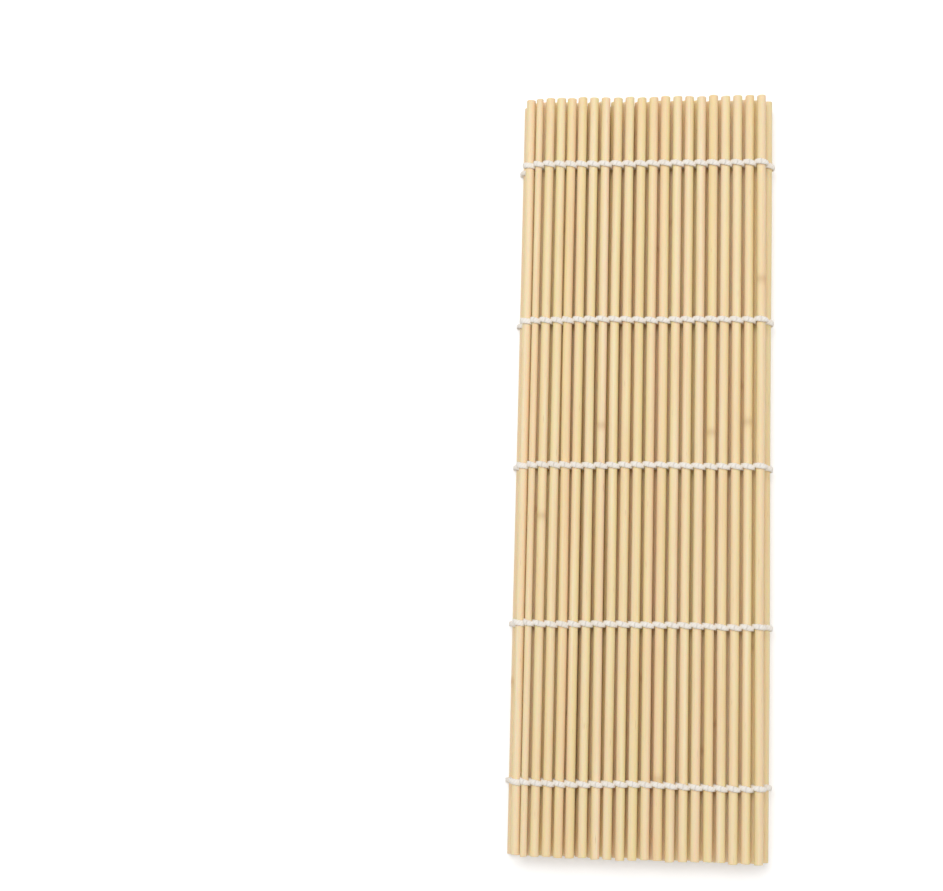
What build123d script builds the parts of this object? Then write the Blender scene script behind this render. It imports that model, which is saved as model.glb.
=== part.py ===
from build123d import *
import math
import os

# A bamboo sushi rolling mat, folded in three and lying flat. Millimetres, +Z up.
# Y runs along the sticks, X across them. The mat is one long row of sticks, held together by rows of twine.
# The row is folded like a letter Z: the bottom panel lies on the table, the right fold leads up
# into the middle panel, and the left fold leads up into the top panel, whose free edge is on the right.

# Sticks
stick_diameter = 2.9
stick_length = 240.0
stick_pitch = 3.81
stick_end_chamfer = 0.25
sticks_in_panel = 21

# Twine: two strands that cross in every gap between two sticks
strand_diameter = 0.84
strand_side_step = 0.5
strand_cut_angle = 4.0
squeezed_cut_angle = 56.0
underside_flat_depth = 0.08
twine_row_place_shares = (0.409, 0.198, 0.005, -0.202, -0.406)

# Knot and tails where each twine row ends
knot_diameter = 1.9
knot_clearance = 0.03
tail_length = 3.5
tail_spread_angle = 50.0

# Folds: the outermost stick of a fold leans out of its panel and hangs a little lower
layer_clearance = 0.15
crease_angle = 50.0
fold_side_reach = 1.888
link_end_gap = 0.15

# A turn in degrees
half_turn = 180.0

# Sizes that follow
stick_radius = stick_diameter / 2
strand_radius = strand_diameter / 2
half_pitch = stick_pitch / 2
loop_radius = math.hypot(half_pitch, strand_side_step)
layer_reach = loop_radius + strand_radius
layer_spacing = 2 * layer_reach + layer_clearance
bottom_height = layer_reach - underside_flat_depth
knot_radius = knot_diameter / 2
knot_drop = layer_reach - knot_radius
knot_side_reach = math.sqrt((stick_radius + knot_clearance + knot_radius) ** 2 - knot_drop ** 2)
tail_drop = knot_radius - strand_radius
twine_row_places = [share * stick_length for share in twine_row_place_shares]
fold_angle = half_turn - crease_angle
fold_rise = layer_spacing - half_pitch * math.sin(math.radians(crease_angle))
fold_pitch = math.hypot(fold_side_reach, fold_rise)


class Seat:
    """Where a stick lies: the place of its axis, and the way that the row of sticks heads there."""

    def __init__(self, x, z, heading):
        self.x = x
        self.z = z
        self.heading = heading

    def ahead(self, distance):
        """The point that lies this far along the row's heading."""
        turn = math.radians(self.heading)
        return self.x + distance * math.cos(turn), self.z + distance * math.sin(turn)

    def next(self, heading):
        """The next stick's seat, where both sticks meet half a pitch from each."""
        x, z = self.ahead(half_pitch)
        turn = math.radians(heading)
        return Seat(x + half_pitch * math.cos(turn), z + half_pitch * math.sin(turn), heading)

    def location(self):
        return Location((self.x, 0, self.z), (0, -self.heading, 0))


def fold_over(last, heading, side):
    """The outermost stick of a fold, which stands above the last stick of the panel below it."""
    return Seat(last.x + side * fold_side_reach, last.z + fold_rise, heading)


def fold_axis(edge, opened, turn):
    """The point that a fold stick turns about, from its folded place to its opened one."""
    over_x = opened[0] - edge.x
    over_z = opened[1] - edge.z
    lever = 1 / (2 * math.tan(math.radians(turn) / 2))
    return (edge.x + opened[0]) / 2 - lever * over_z, (edge.z + opened[1]) / 2 + lever * over_x


def make_stick():
    stick = Cylinder(stick_radius, stick_length, rotation=(90, 0, 0))
    return chamfer(stick.edges().filter_by(GeomType.CIRCLE), stick_end_chamfer)


def make_loop(side, left, right, left_cut=0.0, right_cut=0.0):
    """One strand's half turn over (side 1) or under (side -1) a stick, from its left gap to its right."""
    across = Vector(stick_pitch, right - left, 0)
    up = Vector(0, 0, side)
    ring = Plane(origin=(0, (left + right) / 2, 0), x_dir=across, z_dir=across.cross(up))
    turn = half_turn - left_cut - right_cut
    torus = Torus(across.length / 2, strand_radius, major_angle=turn, align=None)
    return ring.location * Rotation(0, 0, right_cut) * torus


def make_bending_loop(side, left_cut=strand_cut_angle):
    """A half turn that slants from one side of the twine row to the other, cut short of both gaps."""
    step = strand_side_step * side
    return make_loop(side, step, -step, left_cut, strand_cut_angle)


def in_rows(shapes):
    """The same shapes at every twine row."""
    return [Location((0, place, 0)) * shape for place in twine_row_places for shape in shapes]


def make_strand(seats, first_side, first_loop):
    """One strand along a stiff panel, over one stick and under the next. It starts with a given loop."""
    pieces = [seats[0].location() * first_loop]
    side = first_side
    for seat in seats[1:]:
        side = -side
        step = strand_side_step * side
        right_cut = strand_cut_angle if seat is seats[-1] else 0.0
        pieces.append(seat.location() * make_loop(side, step, -step, 0.0, right_cut))
    return pieces[0].fuse(*pieces[1:])


def make_knot(seat):
    """The knot that ends a row. It lies low against the stick, and its two short tails are tucked under."""
    ball = Sphere(knot_radius)
    tails = [
        Location((0, 0, -tail_drop), (0, 0, spread)) * make_tail()
        for spread in (-tail_spread_angle, tail_spread_angle)
    ]
    return Location((seat.x - knot_side_reach, 0, seat.z - knot_drop)) * ball.fuse(*tails)


def make_tail():
    return Rotation(0, 90, 0) * Cylinder(
        strand_radius, tail_length, align=(Align.CENTER, Align.CENTER, Align.MIN)
    )


def make_link(start, start_y, end, end_y):
    """A straight strand across the open side of a fold, a little short of the loops at its ends."""
    start = Vector(start[0], start_y, start[1])
    end = Vector(end[0], end_y, end[1])
    run = end - start
    begin = start + run.normalized() * link_end_gap
    length = run.length - 2 * link_end_gap
    rod = Cylinder(strand_radius, length, align=(Align.CENTER, Align.CENTER, Align.MIN))
    return Plane(origin=begin, z_dir=run).location * rod


# The seats of all sticks, in the order in which the twine holds them
bottom = [Seat(number * stick_pitch, bottom_height, 0.0) for number in range(sticks_in_panel)]
right_edge = fold_over(bottom[-1], fold_angle, 1)
middle = [right_edge.next(half_turn)]
while len(middle) < sticks_in_panel - 1:
    middle.append(middle[-1].next(half_turn))
left_edge = fold_over(middle[-1], crease_angle, -1)
top = [left_edge]
while len(top) < sticks_in_panel:
    top.append(top[-1].next(0.0))

# Hinge axes, all along Y
axes = {
    "fold_right": fold_axis(right_edge, bottom[-1].ahead(fold_pitch), -fold_angle),
    "crease_right": right_edge.ahead(half_pitch),
    "fold_left": fold_axis(left_edge, middle[-1].ahead(fold_pitch), fold_angle),
    "crease_left": left_edge.ahead(half_pitch),
}
for number in range(2, sticks_in_panel):
    axes[f"curl_{number - 1:02d}"] = top[number - 1].ahead(half_pitch)

# Sticks
stick = make_stick()
nodes = {
    "bottom_sticks": [seat.location() * stick for seat in bottom],
    "right_fold_stick": [right_edge.location() * stick],
    "middle_sticks": [seat.location() * stick for seat in middle],
}
for number, seat in enumerate(top, start=1):
    nodes[f"top_stick_{number:02d}"] = [seat.location() * stick]

# Twine along the two stiff panels
over_from_knot = make_loop(1, 0.0, -strand_side_step)
under_from_knot = make_loop(-1, 0.0, strand_side_step)
below_table = Location((0, 0, -stick_length / 2)) * Box(2 * stick_length, 2 * stick_length, stick_length)
bottom_row = make_strand(bottom, 1, over_from_knot).fuse(
    make_strand(bottom, -1, under_from_knot), make_knot(bottom[0])
)
bottom_row = bottom_row - below_table

# Inside a fold the strand is squeezed away between the sticks, so the loop there starts late
over_from_fold = make_loop(1, strand_side_step, -strand_side_step, squeezed_cut_angle)
under_from_fold = make_loop(-1, -strand_side_step, strand_side_step, strand_cut_angle)
middle_row = [make_strand(middle, 1, over_from_fold), make_strand(middle, -1, under_from_fold)]
for number, place in enumerate(twine_row_places, start=1):
    row = Location((0, place, 0))
    nodes[f"bottom_twine_row_{number}"] = [row * bottom_row]
    nodes[f"middle_twine_row_{number}"] = [row * strand for strand in middle_row]

# Twine round each stick of the top panel, which bends at every gap
over = make_bending_loop(1)
under = make_bending_loop(-1)
squeezed_under = make_bending_loop(-1, squeezed_cut_angle)
for number, seat in enumerate(top[1:-1], start=2):
    loops = [over, squeezed_under if number == 2 else under]
    nodes[f"top_twine_{number:02d}"] = [seat.location() * loop for loop in in_rows(loops)]

# At the free edge the two strands are the halves of one cord, doubled round the last stick
end_loops = in_rows(
    [
        make_loop(1, strand_side_step, 0.0, strand_cut_angle),
        make_loop(-1, -strand_side_step, 0.0, strand_cut_angle),
    ]
)
nodes[f"top_twine_{sticks_in_panel:02d}"] = [top[-1].location() * loop for loop in end_loops]

# At a fold the outer strand and its link show
nodes["top_twine_01"] = [left_edge.location() * loop for loop in in_rows([over])]
nodes["right_fold_twine"] = [right_edge.location() * loop for loop in in_rows([under])]
left_link = make_link(
    left_edge.ahead(-half_pitch), strand_side_step, middle[-1].ahead(half_pitch), -strand_side_step
)
right_link = make_link(
    right_edge.ahead(-half_pitch), -strand_side_step, bottom[-1].ahead(half_pitch), strand_side_step
)
nodes["left_fold_links"] = in_rows([left_link])
nodes["right_fold_links"] = in_rows([right_link])

# The origin is under the middle of the whole mat
box = Compound([shape for shapes in nodes.values() for shape in shapes]).bounding_box()
centre = Location((-(box.min.X + box.max.X) / 2, 0, 0))
axes = {name: (x + centre.position.X, z) for name, (x, z) in axes.items()}
foot = (bottom[len(bottom) // 2].x + centre.position.X, twine_row_places[len(twine_row_places) // 2])

os.makedirs("parts", exist_ok=True)
for name, shapes in nodes.items():
    export_step(Compound([centre * shape for shape in shapes]), f"parts/{name}.step")

print(f"{len(nodes)} nodes, {len(bottom) + len(middle) + len(top) + 1} sticks")
print(f"size {box.size.X:.2f} x {box.size.Y:.2f} x {box.size.Z:.2f} mm, layers {layer_spacing:.2f} mm apart")
print(f"flat foot under the middle stick at x {foot[0]:.3f}, y {foot[1]:.3f} mm")
for name, (x, z) in axes.items():
    print(f"{name}: axis along Y at x {x:.3f}, z {z:.3f} mm")
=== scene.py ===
# %% [markdown]
# # A bamboo rolling mat, folded in three
# The mat is a long row of round bamboo sticks. Five rows of cotton twine hold them: each row is two
# strands that go over and under the sticks in turn and cross in every gap. The construction is loaded
# first, as a fixed frame. Everything here is dressed onto it, so every place below is read from the
# frame, and only the sizes that the frame doesn't tell are written out, in millimetres.

# %% Load the frame
import bpy
import math
import random
import numpy as np
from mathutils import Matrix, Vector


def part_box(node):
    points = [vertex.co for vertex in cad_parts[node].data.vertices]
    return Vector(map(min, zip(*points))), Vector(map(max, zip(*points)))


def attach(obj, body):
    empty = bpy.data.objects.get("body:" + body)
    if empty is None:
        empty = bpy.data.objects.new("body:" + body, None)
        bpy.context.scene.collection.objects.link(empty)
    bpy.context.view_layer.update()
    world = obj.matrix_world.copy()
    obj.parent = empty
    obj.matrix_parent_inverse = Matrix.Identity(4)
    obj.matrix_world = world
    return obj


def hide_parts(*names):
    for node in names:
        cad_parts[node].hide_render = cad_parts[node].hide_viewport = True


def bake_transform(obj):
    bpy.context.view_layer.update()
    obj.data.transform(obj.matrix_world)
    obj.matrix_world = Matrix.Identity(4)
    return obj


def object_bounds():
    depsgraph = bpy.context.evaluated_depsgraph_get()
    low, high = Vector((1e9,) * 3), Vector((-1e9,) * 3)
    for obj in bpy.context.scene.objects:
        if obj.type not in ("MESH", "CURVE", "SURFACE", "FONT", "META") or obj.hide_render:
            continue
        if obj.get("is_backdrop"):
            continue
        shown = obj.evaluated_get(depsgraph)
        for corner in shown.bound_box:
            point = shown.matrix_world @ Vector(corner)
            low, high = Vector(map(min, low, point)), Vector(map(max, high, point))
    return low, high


mm = 0.001
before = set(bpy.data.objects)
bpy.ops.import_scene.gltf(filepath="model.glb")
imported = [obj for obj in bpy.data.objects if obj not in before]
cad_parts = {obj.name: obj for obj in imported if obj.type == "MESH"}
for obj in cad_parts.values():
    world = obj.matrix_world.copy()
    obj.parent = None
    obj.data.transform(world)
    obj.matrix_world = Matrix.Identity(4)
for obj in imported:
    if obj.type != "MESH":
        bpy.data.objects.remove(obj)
cad_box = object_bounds()
print("mat in mm", [round(side / mm, 1) for side in cad_box[1] - cad_box[0]])

# %% [markdown]
# ## Where each stick lies
# A seat is the place of a stick's axis, in millimetres, and the body that the stick moves with. The
# row of sticks runs to the right in the bottom panel, back to the left in the middle one and to the
# right again on top, with one stick between two panels at each fold. A node of several sticks is
# shared out evenly along its box.

# %% Seats
sticks_in_panel = 21


class Seat:
    """The place of one stick's axis, and the body that the stick moves with."""

    def __init__(self, body, x, z):
        self.body = body
        self.x = x
        self.z = z


def box_in_mm(node):
    low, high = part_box(node)
    return np.array(low) / mm, np.array(high) / mm


low, high = box_in_mm("top_stick_02")
stick_radius = (high[0] - low[0]) / 2
stick_length = high[1] - low[1]


def shared_seats(node, body, count, leftwards):
    """The seats of the parallel sticks of one node, in the order in which the row reaches them."""
    low, high = box_in_mm(node)
    places = np.linspace(low[0] + stick_radius, high[0] - stick_radius, count)
    if leftwards:
        places = places[::-1]
    height = (low[2] + high[2]) / 2
    return [Seat(body, x, height) for x in places]


def single_seat(node, body):
    low, high = box_in_mm(node)
    return Seat(body, (low[0] + high[0]) / 2, (low[2] + high[2]) / 2)


bottom = shared_seats("bottom_sticks", "bottom_panel", sticks_in_panel, leftwards=False)
right_edge = single_seat("right_fold_stick", "right_fold_edge")
middle = shared_seats("middle_sticks", "middle_panel", sticks_in_panel - 1, leftwards=True)
top = []
for number in range(1, sticks_in_panel + 1):
    top.append(single_seat(f"top_stick_{number:02d}", f"top_{number:02d}"))
seats = bottom + [right_edge] + middle + top
pitch = top[-1].x - top[-2].x
print(len(seats), "sticks, radius", round(float(stick_radius), 3), "pitch", round(float(pitch), 3))

# %% [markdown]
# ## Shader maths as plain expressions
# A material is easier to read when its maths looks like maths. A Wire wraps one socket. Adding or
# multiplying wires makes the Math or Vector Math node that does it, and a Finish makes every other
# node from its type, its settings and what goes into its sockets.

# %% Wires and finishes
mix_share, mix_first, mix_second, mix_result = 0, 6, 7, 2


def linear(red, green, blue):
    """A colour given from 0 to 255, as the shader wants it."""
    def channel(value):
        share = value / 255
        return share / 12.92 if share <= 0.04045 else ((share + 0.055) / 1.055) ** 2.4
    return (channel(red), channel(green), channel(blue), 1.0)


class Wire:
    """One socket of a material, with the sums that this scene uses."""

    def __init__(self, finish, socket):
        self.finish = finish
        self.socket = socket

    def maths(self, operation, first, second):
        if self.socket.type == "VECTOR":
            return self.finish.node("ShaderNodeVectorMath", {"operation": operation}, {0: first, 1: second})
        return self.finish.node("ShaderNodeMath", {"operation": operation}, {0: first, 1: second})

    def __add__(self, other):
        return self.maths("ADD", self, other)

    def __radd__(self, other):
        return self.maths("ADD", other, self)

    def __rsub__(self, other):
        return self.maths("SUBTRACT", other, self)

    def __mul__(self, other):
        return self.maths("MULTIPLY", self, other)


class Finish:
    """A material under construction."""

    def __init__(self, name):
        self.material = bpy.data.materials.new(name)
        self.material.use_nodes = True
        self.tree = self.material.node_tree
        self.shader = self.tree.nodes["Principled BSDF"]

    def node(self, kind, settings=None, inputs=None, output=0):
        made = self.tree.nodes.new(kind)
        for name, value in (settings or {}).items():
            if name == "stops":
                self.set_stops(made.color_ramp, value)
            else:
                setattr(made, name, value)
        for name, value in (inputs or {}).items():
            self.plug(made.inputs[name], value)
        return Wire(self, made.outputs[output])

    def set_stops(self, ramp, stops):
        while len(ramp.elements) < len(stops):
            ramp.elements.new(1.0)
        for element, (place, colour) in zip(ramp.elements, stops):
            element.position = place
            element.color = colour

    def plug(self, socket, value):
        if isinstance(value, Wire):
            self.tree.links.new(value.socket, socket)
        else:
            socket.default_value = value

    def set(self, **values):
        for name, value in values.items():
            self.plug(self.shader.inputs[name.replace("_", " ")], value)

    def place(self):
        """The point of the surface in the mat's own frame, in metres."""
        return self.node("ShaderNodeTexCoord", output="Object")

    def noise(self, where, scale, detail=2.0, roughness=0.5):
        inputs = {"Vector": where, "Scale": scale, "Detail": detail, "Roughness": roughness}
        return self.node("ShaderNodeTexNoise", None, inputs, "Fac")

    def ramp(self, value, *stops):
        return self.node("ShaderNodeValToRGB", {"stops": stops}, {"Fac": value})

    def rise(self, value, start, end):
        """0 below start, 1 above end, and smooth between."""
        inputs = {"Value": value, "From Min": start, "From Max": end}
        return self.node("ShaderNodeMapRange", {"interpolation_type": "SMOOTHSTEP"}, inputs)

    def blend(self, share, first, second):
        """The first colour where the share is 0, the second where it is 1."""
        inputs = {mix_share: share, mix_first: first, mix_second: second}
        return self.node("ShaderNodeMix", {"data_type": "RGBA"}, inputs, mix_result)

    def layered(self, colour, layers):
        """A colour with thin tints over it. Each layer is where it lies, how strong it is and its tint."""
        for where, strength, tint in layers:
            colour = self.blend(where * strength, colour, tint)
        return colour

    def mark(self, name):
        """A value that was written on the mesh, such as a stick's own tone."""
        return self.node("ShaderNodeAttribute", {"attribute_name": name}, output="Fac")

    def bump(self, height, strength, distance):
        inputs = {"Height": height, "Strength": strength, "Distance": distance}
        return self.node("ShaderNodeBump", None, inputs)


white = linear(255, 255, 255)
black = linear(0, 0, 0)
print("shader helpers ready; a mid grey is", round(linear(128, 128, 128)[0], 3), "to the shader")

# %% [markdown]
# ## Bamboo
# The sticks are bare split bamboo, turned round and polished: pale, with long fibres and no varnish.
# No two have the same tone: cream, honey, a little pink or a little green. Each stick's tone is
# written on its mesh as a number, so that one material serves all. So is its skin side, which was
# the outside of the cane's wall: it is denser and more yellow, and the other side is pinker. Fibres
# are noise that is squeezed across the stick and stretched along it. A few darker flecks and the
# ring of a cane joint add wear.

# %% The bamboo finish
fibre_squeeze = (1.0, 0.012, 1.0)
fleck_squeeze = (1.0, 0.05, 1.0)
patch_squeeze = (1.0, 0.12, 1.0)
fibre_scale = 3200.0
coarse_fibre_scale = 900.0
fleck_scale = 2400.0
patch_scale = 160.0
stick_tones = (
    (0.0, linear(250, 232, 196)),
    (0.22, linear(247, 223, 176)),
    (0.42, linear(249, 226, 188)),
    (0.62, linear(246, 226, 178)),
    (0.82, linear(248, 228, 186)),
    (1.0, linear(245, 217, 164)),
)
skin_tint = linear(240, 222, 148)
flesh_tint = linear(250, 212, 178)
warm_tint = linear(245, 210, 160)
pale_tint = linear(253, 240, 212)
line_tint = linear(212, 168, 108)
fleck_tint = linear(176, 124, 66)
ring_tint = linear(190, 142, 86)
smoothest_bamboo = 0.50
fibre_depth = 0.05 * mm
light_depth = 0.7 * mm


def make_bamboo():
    finish = Finish("bamboo")
    place = finish.place()
    skin = finish.mark("skin")
    along = place * fibre_squeeze
    patches = finish.noise(place * patch_squeeze, patch_scale, 3.0, 0.55)
    fibres = finish.noise(along, fibre_scale, 4.0, 0.62)
    coarse_fibres = finish.noise(along, coarse_fibre_scale, 3.0)
    specks = finish.noise(place * fleck_squeeze, fleck_scale)
    layers = (
        (finish.rise(skin, 0.50, 1.0), 0.42, skin_tint),
        (finish.rise(1.0 - skin, 0.50, 1.0), 0.42, flesh_tint),
        (finish.rise(patches, 0.42, 0.72), 0.40, warm_tint),
        (finish.rise(coarse_fibres, 0.50, 0.75), 0.40, pale_tint),
        (finish.rise(fibres, 0.52, 0.80), 0.32, line_tint),
        (finish.rise(specks, 0.69, 0.80), 0.45, fleck_tint),
        (finish.mark("cane_joint"), 0.34, ring_tint),
    )
    height = fibres * 0.6 + coarse_fibres * 0.4
    finish.set(
        Base_Color=finish.layered(finish.ramp(finish.mark("tone"), *stick_tones), layers),
        Roughness=smoothest_bamboo + patches * 0.16,
        Subsurface_Weight=0.30,
        Subsurface_Radius=(1.0, 0.5, 0.2),
        Subsurface_Scale=light_depth,
        Normal=finish.bump(height, 0.35, fibre_depth),
    )
    return finish.material


bamboo = make_bamboo()
print("made", bamboo.name, "with", len(bamboo.node_tree.nodes), "nodes")

# %% [markdown]
# The sawn ends show the cane from another side: a paler ground with the dark dots of cut fibre
# bundles. Voronoi cells give the dots, and a second material on the end faces keeps it simple.

# %% The end grain finish
bundle_scale = 3300.0
shade_scale = 700.0
ground_light = linear(236, 206, 156)
ground_dark = linear(214, 176, 122)
bundle_colour = linear(142, 98, 54)
smoothest_end = 0.78
dot_depth = 0.05 * mm


def make_end_grain():
    finish = Finish("bamboo_end_grain")
    place = finish.place()
    inputs = {"Vector": place, "Scale": bundle_scale}
    cells = finish.node("ShaderNodeTexVoronoi", {"feature": "F1"}, inputs, "Distance")
    dots = 1.0 - finish.rise(cells, 0.16, 0.40)
    ground = finish.blend(finish.noise(place, shade_scale), ground_light, ground_dark)
    finish.set(
        Base_Color=finish.blend(dots * 0.65, ground, bundle_colour),
        Roughness=smoothest_end + dots * 0.12,
        Normal=finish.bump(dots, 0.4, dot_depth),
    )
    return finish.material


end_grain = make_end_grain()
print("made", end_grain.name)

# %% [markdown]
# ## Cotton twine
# Off-white cotton is matt and a little fuzzy. The plies themselves are modelled below. The material
# adds the fine fibres along them as bump, painted shade of a darker cream in the hollows between the
# plies, and a soft sheen.

# %% The twine finish
cotton_fibre_scale = 5200.0
cloud_scale = 420.0
clean_cotton = linear(253, 249, 243)
cream_cotton = linear(248, 241, 231)
# the colour of the painted shade in the hollows between the plies
ply_hollow_painted_shade = linear(232, 219, 200)
smoothest_cotton = 0.86
fuzz_depth = 0.06 * mm


def make_cotton():
    finish = Finish("cotton_twine")
    place = finish.place()
    fibre = finish.noise(place, cotton_fibre_scale, 4.0, 0.65)
    cloud = finish.noise(place, cloud_scale)
    ground = finish.blend(finish.rise(cloud, 0.35, 0.70), clean_cotton, cream_cotton)
    finish.set(
        # painted shade: the darker cream is laid into the hollows between the plies
        Base_Color=finish.blend(finish.mark("hollow") * 0.40, ground, ply_hollow_painted_shade),
        Roughness=smoothest_cotton + fibre * 0.12,
        Sheen_Weight=0.25,
        Sheen_Roughness=0.6,
        Normal=finish.bump(fibre, 0.55, fuzz_depth),
    )
    return finish.material


cotton = make_cotton()
print("made", cotton.name)

# %% [markdown]
# ## The sticks
# A perfect cylinder looks like plastic. Each stick is a ring mesh instead: a hair thinner or thicker
# than its neighbour, faintly oval, bowed by a tenth of a millimetre, sawn a little off square, and
# with the swelling of a cane joint on about a third of them. Next to the left fold the sticks of the top
# panel are also pushed to the right, most at their far ends, and the second one is thin, as the
# photograph shows. The axis is kept as a function of the place along the stick, because the twine
# has to lie on the stick where it really is.

# %% Stick shapes
stick_sides = 24
thinnest_share, thickest_share = 0.975, 1.01
lean_limit = 0.14
bow_limit = 0.10
rise_limit = 0.03
fewest_waves, most_waves = 0.6, 1.6
most_oval = 0.02
longest_cut, shortest_cut = -0.35, 0.15
cut_slant_limit = 0.08
skin_turn_limit = 0.8
joint_chance = 0.36
joint_reach_share = 0.42
joint_swell = 0.03
joint_half_width = 1.4
joint_ring_shares = (-1.6, -0.9, -0.4, 0.0, 0.4, 0.9, 1.6)
rim_depth = 0.14
rim_length = 0.22
rim_ring_shares = (0.0, 0.3, 1.0, 3.0)
end_zone = 2.0
rings_between = 34
top_near_shifts = (1.45, 0.8, 0.4, 0.35, 0.15)
top_far_shifts = (1.6, 1.6, 1.15, 0.9, 0.45)
lower_far_shifts = (0.9, 0.6, 0.3)
fold_stick_lift = 0.25
thin_stick_share = 0.76


class Stick:
    """The small irregularities of one stick. They are drawn, but shifts and lift are set one by one later.
    """

    def __init__(self, seat, draw):
        self.seat = seat
        self.tone = draw.random()
        self.skin_turn = draw.choice((0.0, math.pi)) + draw.uniform(-skin_turn_limit, skin_turn_limit)
        self.radius = stick_radius * draw.uniform(thinnest_share, thickest_share)
        self.lean = draw.uniform(-lean_limit, lean_limit)
        self.near_shift = 0.0
        self.far_shift = 0.0
        self.lift = 0.0
        self.bow = draw.uniform(-bow_limit, bow_limit)
        self.waves = draw.uniform(fewest_waves, most_waves)
        self.start = draw.uniform(0.0, 2 * math.pi)
        self.rise = draw.uniform(-rise_limit, rise_limit)
        self.oval = draw.uniform(0.0, most_oval)
        self.oval_turn = draw.uniform(0.0, math.pi)
        self.cuts = [draw.uniform(longest_cut, shortest_cut) for _ in range(2)]
        self.cut_slants = [draw.uniform(-cut_slant_limit, cut_slant_limit) for _ in range(2)]
        self.joint_place = None
        if draw.random() < joint_chance:
            self.joint_place = draw.uniform(-joint_reach_share, joint_reach_share) * stick_length

    def centre(self, y):
        """How far the axis is from its seat at this place along the stick, as (x, z)."""
        share = y / stick_length
        wave = math.sin(2 * math.pi * self.waves * share + self.start)
        pulled = self.near_shift + (self.far_shift - self.near_shift) * (share + 0.5)
        return self.lean * share + self.bow * wave + pulled, self.rise * wave + self.lift

    def swell(self, y):
        if self.joint_place is None:
            return 0.0
        away = (y - self.joint_place) / joint_half_width
        return math.exp(-away * away)

    def rim(self, y):
        """How much the radius drops near an end, because the sawn edge is tumbled smooth."""
        half = stick_length / 2
        away = min(y + half - self.cuts[0], half - self.cuts[1] - y)
        if away >= rim_length:
            return 0.0
        return rim_depth * (1 - math.sqrt(max(0.0, 1 - (1 - away / rim_length) ** 2)))

    def ring_places(self):
        """Places along the stick: close together at the rounded ends and round the cane joint."""
        half = stick_length / 2
        places = list(np.linspace(-half + end_zone, half - end_zone, rings_between))
        for share in rim_ring_shares:
            places.append(self.cuts[0] - half + share * rim_length)
            places.append(half - self.cuts[1] - share * rim_length)
        if self.joint_place is not None:
            places.extend(self.joint_place + joint_half_width * share for share in joint_ring_shares)
        return sorted(places)


def stick_rings(stick):
    """(points, skin mark, cane joint mark, ring count) of one stick."""
    points, skin, cane = [], [], []
    turns = np.linspace(0, 2 * math.pi, stick_sides, endpoint=False)
    places = stick.ring_places()
    for y in places:
        dx, dz = stick.centre(y)
        swell = stick.swell(y)
        radius = stick.radius + stick_radius * joint_swell * swell - stick.rim(y)
        radii = radius * (1 + stick.oval * (np.cos(2 * (turns + stick.oval_turn)) - 1))
        near_end = max(0.0, abs(y) - stick_length / 2 + end_zone) / end_zone
        slant = stick.cut_slants[0 if y < 0 else 1] * near_end
        xs = stick.seat.x + dx + radii * np.cos(turns)
        zs = stick.seat.z + dz + radii * np.sin(turns)
        ys = y + slant * np.cos(turns) - abs(slant) * math.copysign(1.0, y)
        points.extend(zip(xs, ys, zs))
        skin.extend((1 + np.cos(turns - stick.skin_turn)) / 2)
        cane.extend([swell] * stick_sides)
    return np.array(points), skin, cane, len(places)


def tube_faces(rings, sides, first=0):
    """Quads round a tube, and the two end faces."""
    walls = []
    for ring in range(rings - 1):
        a = first + ring * sides
        b = a + sides
        for side in range(sides):
            after = (side + 1) % sides
            walls.append((a + side, b + side, b + after, a + after))
    last = first + (rings - 1) * sides
    caps = [tuple(range(first, first + sides)), tuple(reversed(range(last, last + sides)))]
    return walls, caps


def finish_mesh(name, points, walls, caps, marks, materials):
    """One mesh object, smooth along its walls and with crisp end faces."""
    mesh = bpy.data.meshes.new(name)
    mesh.from_pydata((np.asarray(points) * mm).tolist(), [], walls + caps)
    for material in materials:
        mesh.materials.append(material)
    wall_count = len(walls)
    smooth = np.ones(wall_count + len(caps), dtype=bool)
    smooth[wall_count:] = False
    mesh.polygons.foreach_set("use_smooth", smooth)
    slots = np.zeros(wall_count + len(caps), dtype=np.int32)
    slots[wall_count:] = len(materials) - 1
    mesh.polygons.foreach_set("material_index", slots)
    for mark, values in marks.items():
        layer = mesh.attributes.new(mark, "FLOAT", "POINT")
        layer.data.foreach_set("value", np.asarray(values, dtype=np.float32))
    mesh.update()
    piece = bpy.data.objects.new(name, mesh)
    bpy.context.scene.collection.objects.link(piece)
    return piece


def make_sticks(name, sticks):
    """Some sticks as one piece."""
    points, walls, caps = [], [], []
    marks = {"tone": [], "skin": [], "cane_joint": []}
    for stick in sticks:
        ring_points, skin, cane, rings = stick_rings(stick)
        more_walls, more_caps = tube_faces(rings, stick_sides, len(points))
        points.extend(ring_points)
        walls.extend(more_walls)
        caps.extend(more_caps)
        marks["tone"].extend([stick.tone] * len(ring_points))
        marks["skin"].extend(skin)
        marks["cane_joint"].extend(cane)
    return finish_mesh(name, points, walls, caps, marks, [bamboo, end_grain])


draw = random.Random(24)
sticks = [Stick(seat, draw) for seat in seats]
first_top = len(sticks) - sticks_in_panel
for stick, near_shift, far_shift in zip(sticks[first_top:], top_near_shifts, top_far_shifts):
    stick.near_shift, stick.far_shift = near_shift, far_shift
for lower_sticks in (sticks, sticks[first_top - 1::-1]):
    for stick, far_shift in zip(lower_sticks, lower_far_shifts):
        stick.far_shift = far_shift
sticks[first_top].lift = fold_stick_lift
sticks[first_top + 1].radius = stick_radius * thin_stick_share
groups = {"bottom_sticks": [], "right_fold_stick": [], "middle_sticks": []}
for stick in sticks:
    body = stick.seat.body
    node = {
        "bottom_panel": "bottom_sticks",
        "right_fold_edge": "right_fold_stick",
        "middle_panel": "middle_sticks",
    }.get(body, body.replace("top_", "top_stick_"))
    groups.setdefault(node, []).append(stick)
for node, members in groups.items():
    piece = make_sticks(f"bamboo_{node}", members)
    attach(piece, members[0].seat.body)
    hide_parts(node)
print(len(groups), "stick pieces from", len(sticks), "sticks")

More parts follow.
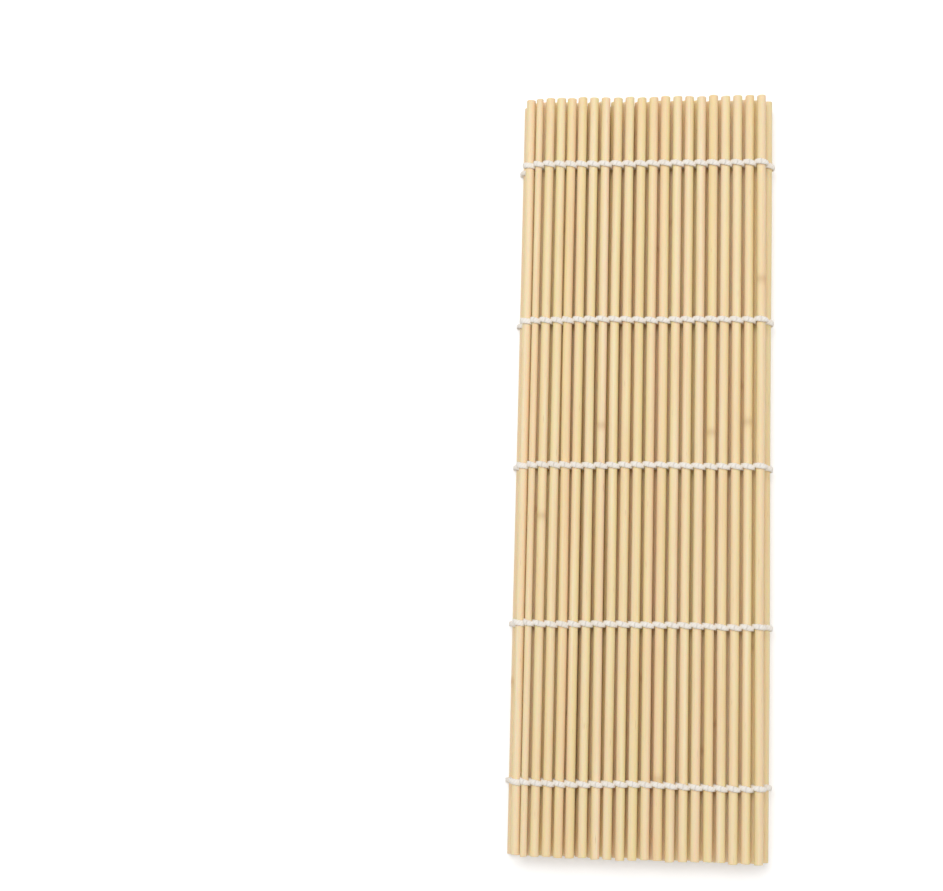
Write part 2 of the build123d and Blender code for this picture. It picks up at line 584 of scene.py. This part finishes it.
# %% [markdown]
# ## The way of a strand
# A strand passes every stick on one side and the next stick on the other. Between two sticks it goes
# straight through the middle of the gap, so its whole way is a chain of arcs: each arc starts at the
# middle of one gap, goes round the stick and ends at the middle of the next gap. That holds in the
# flat panels, where every arc is a half circle, and also at a fold, where the outer arc is long and
# the inner one short. The two strands of a row swap sides in each gap, a little to the left and
# right of the row's line, which gives the slanted bumps that the photograph shows.

# %% Strand paths
strand_radius = 0.47
crest_width_share = 1.95
gap_width_share = 1.4
crest_height = 0.46
side_step = 0.4
least_room = 0.12
ring_spacing = 0.26
fewest_half_rings = 3
wander_waves = 3
least_wander, most_wander = 0.05, 0.14
slowest_wander, fastest_wander = 1.5, 9.0
jitter_limit = 0.06
row_count = 5
over, under = 1, -1


def row_places():
    """Where the five rows lie along the sticks."""
    return [sum(box_in_mm(f"bottom_twine_row_{row}"))[1] / 2 for row in range(1, row_count + 1)]


class Row:
    """A row's gentle wander along the sticks."""

    def __init__(self, place, draw):
        self.place = place
        self.waves = []
        for _ in range(wander_waves):
            size = draw.uniform(least_wander, most_wander)
            rate = draw.uniform(slowest_wander, fastest_wander)
            start = draw.uniform(0, 2 * math.pi)
            self.waves.append((size, rate, start))
        self.jitters = [draw.uniform(-jitter_limit, jitter_limit) for _ in seats]

    def y(self, number):
        share = number / len(seats)
        wander = sum(size * math.sin(2 * math.pi * rate * share + start) for size, rate, start in self.waves)
        return self.place + wander + self.jitters[number]


def middles(row):
    """The true stick centres on a row, and the middle of each gap, as (x, z)."""
    centres = []
    for stick in sticks:
        dx, dz = stick.centre(row.place)
        centres.append(np.array([stick.seat.x + dx, stick.seat.z + dz]))
    gaps = []
    for here, there, a, b in zip(sticks, sticks[1:], centres, centres[1:]):
        way = (b - a) / np.linalg.norm(b - a)
        gaps.append((a + way * here.radius + b - way * there.radius) / 2)
    first = centres[0] - np.array([pitch / 2, 0.0])
    last = centres[-1] + np.array([pitch / 2, 0.0])
    return centres, [first] + gaps + [last]


class Way:
    """A strand's points, one after another, with what the tube needs at each."""

    def __init__(self):
        self.points = []
        self.thickness = []
        self.width = []
        self.crests = []

    def add_arc(self, radius, centre, start, end, side, row_y, left_y, right_y, tight_in, tight_out):
        """Round one stick, from the middle of one gap to the middle of the next."""
        begin = math.atan2(*(start - centre)[::-1])
        finish = math.atan2(*(end - centre)[::-1])
        turn = (begin - finish) % (2 * math.pi) if side == over else (finish - begin) % (2 * math.pi)
        crest = radius + crest_height
        reach_in, reach_out = np.linalg.norm(start - centre), np.linalg.norm(end - centre)
        half_count = max(fewest_half_rings, round(crest * turn / ring_spacing / 2))
        count = 2 * half_count
        for step in range(count + 1):
            share = step / count
            if step == 0 and self.points:
                continue
            if step == half_count:
                self.crests.append(len(self.points))
            ease = math.cos(math.pi * share) ** 2
            reach = crest + ((reach_in if share < 0.5 else reach_out) - crest) * ease
            tight = tight_in if share < 0.5 else tight_out
            angle = begin - side * turn * share
            y = row_y + (left_y + right_y) / 2 + (left_y - right_y) / 2 * math.cos(math.pi * share)
            self.points.append((centre[0] + reach * math.cos(angle), y, centre[1] + reach * math.sin(angle)))
            self.thickness.append(1 + (tight - 1) * ease)
            self.width.append(crest_width_share + (gap_width_share - crest_width_share) * ease)


def strand_way(row, first_side):
    """One strand along the whole mat."""
    centres, gaps = middles(row)
    way = Way()
    side = first_side
    last = len(sticks) - 1
    for number, centre in enumerate(centres):
        start, end = gaps[number], gaps[number + 1]
        left_y = 0.0 if number == 0 else side * side_step
        right_y = 0.0 if number == last else -side * side_step
        row_y = (row.y(number) + row.y(min(number + 1, last))) / 2
        radius = sticks[number].radius
        rooms = [np.linalg.norm(point - centre) - radius for point in (start, end)]
        tight = [min(1.0, max(least_room, room) / strand_radius) for room in rooms]
        way.add_arc(radius, centre, start, end, side, row_y, left_y, right_y, *tight)
        side = -side
    way.points = np.array(way.points)
    way.thickness = np.array(way.thickness)
    way.width = np.array(way.width)[:, None]
    steps = np.linalg.norm(np.diff(way.points, axis=0), axis=1)
    way.lengths = np.concatenate([[0.0], np.cumsum(steps)])
    return way


twine_draw = random.Random(63)
rows = [Row(place, twine_draw) for place in row_places()]
ways = [[strand_way(row, over), strand_way(row, under)] for row in rows]
print("rows at", [round(float(row.place), 1) for row in rows])
print("a strand is", round(float(ways[0][0].lengths[-1])), "mm long in a mat that opens to about 240 mm")

# %% [markdown]
# ## Strands as plied tubes
# Seen close, a strand is three plies laid round each other. The tube's section has three soft lobes
# that turn along the way, once in every lay length, and the hollow between two lobes is marked on
# the mesh for the material. Cotton gives way: a strand lies on its stick wider than it is thick, it
# is pressed flatter still where two sticks leave less room, and it is flat where it meets the table.

# %% Plied tubes
strand_sides = 14
plies = 3
ply_depth = 0.09
mean_lobe = 0.2
lay_length = 2.6
thinning_power = 4
table_height = 0.0
any_direction = (0.3, 0.5, 0.8)


def unit_rows(vectors):
    return vectors / np.linalg.norm(vectors, axis=1)[:, None]


def level_across(ahead):
    """The side direction of a strand in a row: as near to the sticks' direction as it can be."""
    return unit_rows(np.array([0.0, 1.0, 0.0]) - ahead * ahead[:, 1:2])


def carried_across(ahead):
    """The side direction along a free curve, which turns as little as it can."""
    side = np.cross(ahead[0], any_direction)
    sides = []
    for direction in ahead:
        side = side - direction * np.dot(side, direction)
        side = side / np.linalg.norm(side)
        sides.append(side)
    return np.array(sides)


def plied_rings(points, lengths, thickness, width, side_rule, radius):
    """(ring points, hollow marks) of a plied tube along these points."""
    ahead = unit_rows(np.gradient(points, axis=0))
    across = side_rule(ahead)
    out = np.cross(across, ahead)
    turns = np.linspace(0, 2 * math.pi, strand_sides, endpoint=False)
    phase = 2 * math.pi * lengths / lay_length
    lobes = np.cos(plies * (turns[None, :] - phase[:, None]))
    radii = radius * (1 + ply_depth * (lobes - mean_lobe))
    flat = thickness[:, None]
    in_out = radii * np.cos(turns)[None, :] * flat
    sideways = -radii * np.sin(turns)[None, :] * width / np.sqrt(flat)
    rings = points[:, None, :] + in_out[:, :, None] * out[:, None, :]
    rings = rings + sideways[:, :, None] * across[:, None, :]
    return rings.reshape(-1, 3), ((1 - lobes) / 2).ravel()


class Twine:
    """A piece of twine in the making: some stretches of strand in one mesh."""

    def __init__(self):
        self.points = []
        self.walls = []
        self.caps = []
        self.hollows = []

    def add(self, points, lengths, thickness, width, side_rule, radius=strand_radius):
        rings, hollows = plied_rings(points, lengths, thickness, width, side_rule, radius)
        walls, caps = tube_faces(len(points), strand_sides, len(self.points))
        self.points.extend(rings)
        self.hollows.extend(hollows)
        self.walls.extend(walls)
        self.caps.extend(caps)

    def add_stretch(self, way, first, last):
        """The part of a strand's way between two of its points."""
        part = slice(first, last + 1)
        self.add(way.points[part], way.lengths[part], way.thickness[part], way.width[part], level_across)

    def add_free(self, points, radius, thin_end=1.0):
        """A round strand along a free curve, such as a knot or a tail."""
        points = np.array(points)
        steps = np.linalg.norm(np.diff(points, axis=0), axis=1)
        lengths = np.concatenate([[0.0], np.cumsum(steps)])
        thickness = 1 + (thin_end - 1) * np.linspace(0, 1, len(points)) ** thinning_power
        self.add(points, lengths, thickness, 1.0, carried_across, radius)

    def make(self, name):
        points = np.array(self.points)
        points[:, 2] = np.maximum(points[:, 2], table_height)
        return finish_mesh(name, points, self.walls, self.caps, {"hollow": self.hollows}, [cotton])


print("a strand has", plies, "plies and", strand_sides, "sides")

# %% [markdown]
# ## Twine on the stiff panels
# In the two lower panels the twine lies still against its sticks, so each row of a panel is one
# piece, and it moves with its panel. The pieces of twine start and end on the crest of a stick,
# so the cut never shows.

# %% Panel rows
right_fold = len(bottom)
first_middle = right_fold + 1
last_middle = first_middle + len(middle) - 1
print("the fold stick is number", right_fold, "and the middle panel has", first_middle, "to", last_middle)

# %% [markdown]
# The row starts in a knot at the bottom panel's free edge. It is a tight overhand knot, low against
# the stick, and its two short tails are tucked under the mat, so little of it shows from above. An
# overhand knot that is pulled tight is very nearly a trefoil curve, which a short formula gives.

# %% Knots
knot_radius = 0.95
knot_ring = 0.19
knot_depth = 0.38
knot_strand_radius = 0.36
tail_radius = 0.40
tail_length = 3.3
tail_spread = 50.0
tail_bend = 9.0
tail_end_share = 0.8
knot_points = 60
tail_points = 12


def knot_centre(row):
    """The middle of a row's knot, from the left edge of a row's box. It follows the first stick."""
    left_edge = box_in_mm("bottom_twine_row_1")[0][0]
    lean = sticks[0].centre(row.place)[0]
    return np.array([left_edge + knot_radius + lean, row.y(0), table_height + knot_radius])


def add_knot(twine, row, draw):
    """A trefoil, seen end on from the free edge, and two tails under the first stick."""
    heart = knot_centre(row)
    roll = draw.uniform(0, 2 * math.pi)
    curve = []
    for t in np.linspace(0, 2 * math.pi, knot_points):
        y = knot_ring * (math.sin(t) + 2 * math.sin(2 * t))
        z = knot_ring * (math.cos(t) - 2 * math.cos(2 * t))
        x = -knot_depth * math.sin(3 * t)
        turned = (x, y * math.cos(roll) - z * math.sin(roll), y * math.sin(roll) + z * math.cos(roll))
        curve.append(heart + turned)
    twine.add_free(curve, knot_strand_radius)
    for side in (over, under):
        spread = side * math.radians(tail_spread + draw.uniform(-tail_bend, tail_bend))
        bend = math.radians(draw.uniform(-tail_bend, tail_bend))
        tail = []
        for share in np.linspace(0, 1, tail_points):
            heading = spread + bend * share
            reach = tail_length * share
            x = heart[0] + reach * math.cos(heading)
            y = heart[1] + reach * math.sin(heading)
            tail.append((x, y, tail_radius))
        twine.add_free(tail, tail_radius, thin_end=tail_end_share)


knot_draw = random.Random(5)
for number, (row, pair) in enumerate(zip(rows, ways), start=1):
    twine = Twine()
    for way in pair:
        twine.add_stretch(way, 0, way.crests[len(bottom) - 1])
    add_knot(twine, row, knot_draw)
    piece = twine.make(f"cotton_bottom_twine_row_{number}")
    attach(piece, "bottom_panel")
    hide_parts(f"bottom_twine_row_{number}")
    twine = Twine()
    for way in pair:
        twine.add_stretch(way, way.crests[first_middle], way.crests[last_middle])
    piece = twine.make(f"cotton_middle_twine_row_{number}")
    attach(piece, "middle_panel")
    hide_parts(f"middle_twine_row_{number}")
print("twine on the stiff panels made")

# %% [markdown]
# ## Twine between sticks that turn
# Between two sticks that can turn on each other, a piece reaches from one crest to the next. One
# piece holds the ten strands of the five rows at that gap. The part of the way between the crests at
# its ends where a bend could lie is worked out, and printed where it differs from the usual part: at
# a fold the inner crests lie closer together, so that part is shorter there. These pieces stay where
# they are made and are put on no body. At the free edge the two strands are one cord, doubled round
# the last stick, and that piece moves with the last stick.

# %% Hinge pieces
earliest_bend_share, latest_bend_share = 0.25, 0.75
crest_room_share = 0.08


def share_along(point, a, b):
    """How far a point lies along the line from one stick to the next: 0 at the first, 1 at the next."""
    return np.dot(point - a, b - a) / np.dot(b - a, b - a)


def bending_piece(number, name, nodes):
    """The twine between stick number and the next one, and where between its end crests a bend could lie."""
    here, there = seats[number], seats[number + 1]
    a, b = np.array([here.x, 0.0, here.z]), np.array([there.x, 0.0, there.z])
    twine = Twine()
    start_share, end_share = earliest_bend_share, latest_bend_share
    for pair in ways:
        for way in pair:
            first, last = way.crests[number], way.crests[number + 1]
            twine.add_stretch(way, first, last)
            start_share = max(start_share, share_along(way.points[first], a, b) + crest_room_share)
            end_share = min(end_share, share_along(way.points[last], a, b) - crest_room_share)
    piece = twine.make(name)
    if (start_share, end_share) != (earliest_bend_share, latest_bend_share):
        print(name, "bends from", round(float(start_share), 3), "to", round(float(end_share), 3))
    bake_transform(piece)
    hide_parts(*nodes)


bending_piece(right_fold - 1, "cotton_right_fold_links", ["right_fold_links"])
bending_piece(right_fold, "cotton_right_crease_twine", ["right_fold_twine"])
bending_piece(last_middle, "cotton_left_fold_links", ["left_fold_links"])
for number in range(1, sticks_in_panel):
    bending_piece(first_top + number - 1, f"cotton_top_twine_{number:02d}", [f"top_twine_{number:02d}"])
twine = Twine()
for pair in ways:
    for way in pair:
        twine.add_stretch(way, way.crests[-1], len(way.points) - 1)
piece = twine.make(f"cotton_top_twine_{sticks_in_panel}")
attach(piece, seats[-1].body)
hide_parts(f"top_twine_{sticks_in_panel}")
print("bending twine made for", sticks_in_panel + 2, "gaps")

# %% [markdown]
# ## The camera
# The photograph was taken from nearly straight above, about 60 cm away, from a point a little right
# of the mat and below its middle. Its lens and place were worked out from the gap lines, the twine
# rows and the stick ends. They are given from the middle of the top panel, so they follow the mat.

# %% Camera
camera_lens = 71.9
camera_from_panel = np.array([23.6, -66.0, 588.0])
camera_turn = (7.212, 7.386, 1.369)

panel_middle = np.array([(top[1].x + top[-1].x) / 2, 0.0, top[-1].z])
eye = bpy.data.cameras.new("photo_camera")
eye.lens = camera_lens
camera = bpy.data.objects.new("photo_camera", eye)
camera.location = (panel_middle + camera_from_panel) * mm
camera.rotation_euler = [math.radians(angle) for angle in camera_turn]
bpy.context.scene.collection.objects.link(camera)
bpy.context.scene.camera = camera
print("camera", [round(x, 4) for x in camera.location])

# %% [markdown]
# ## Floor and light
# A plain white table, and two large soft lamps: the stronger one high up towards the far end, so that
# the shadow falls below the near ends of the sticks, and a weaker one from the right. The world fills
# the rest evenly. What the camera sees of the table gets a little light of its own, so that the table
# is white, and the mat still casts its shadow on it.

# %% Studio
floor_size = 30.0
key_place = (-0.2, 0.7, 2.0)
key_power = 27.0
key_size = 1.2
fill_place = (0.9, -0.4, 2.0)
fill_power = 7.3
fill_size = 1.6
world_strength = 0.445
floor_glow = 0.26
floor_grain_scale = 900.0
floor_light = linear(248, 248, 248)
floor_dark = linear(245, 245, 245)
floor_roughness = 0.7


def make_floor():
    mesh = bpy.data.meshes.new("floor")
    half = floor_size / 2
    corners = [(-half, -half, 0), (half, -half, 0), (half, half, 0), (-half, half, 0)]
    mesh.from_pydata(corners, [], [(0, 1, 2, 3)])
    finish = Finish("table_top")
    grain = finish.noise(finish.place(), floor_grain_scale)
    seen = finish.node("ShaderNodeLightPath", output="Is Camera Ray")
    mirrored = finish.node("ShaderNodeLightPath", output="Is Glossy Ray")
    through = finish.node("ShaderNodeLightPath", output="Is Transmission Ray")
    finish.set(
        Base_Color=finish.blend(grain, floor_light, floor_dark),
        Roughness=floor_roughness,
        Emission_Color=finish.blend(seen + mirrored + through, black, white),
        Emission_Strength=floor_glow,
    )
    mesh.materials.append(finish.material)
    floor = bpy.data.objects.new("floor", mesh)
    bpy.context.scene.collection.objects.link(floor)
    floor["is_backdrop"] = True


def make_lamp(name, place, power, size):
    light = bpy.data.lights.new(name, "AREA")
    light.energy = power
    light.size = size
    lamp = bpy.data.objects.new(name, light)
    lamp.location = place
    aim = -np.array(place)
    lamp.rotation_euler = [
        math.atan2(math.hypot(aim[0], aim[1]), -aim[2]),
        0.0,
        math.atan2(aim[0], -aim[1]),
    ]
    bpy.context.scene.collection.objects.link(lamp)


make_floor()
make_lamp("key_lamp", key_place, key_power, key_size)
make_lamp("fill_lamp", fill_place, fill_power, fill_size)
world = bpy.data.worlds.new("studio")
world.use_nodes = True
background = world.node_tree.nodes["Background"]
background.inputs["Color"].default_value = white
background.inputs["Strength"].default_value = world_strength
bpy.context.scene.world = world
bpy.context.scene.view_settings.view_transform = "Standard"
print("lamps and floor made")

# %% [markdown]
# ## Size and finish
# Both boxes, the frame's and the dressed mat's, are printed, so that their sizes can be set side by
# side. The dressed mat has to keep the size of the frame.

# %% Size and finish
made_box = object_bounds()
for name, corners in (("frame", cad_box), ("dressed", made_box)):
    print(name, "in mm", [[round(value / mm, 2) for value in corner] for corner in corners])
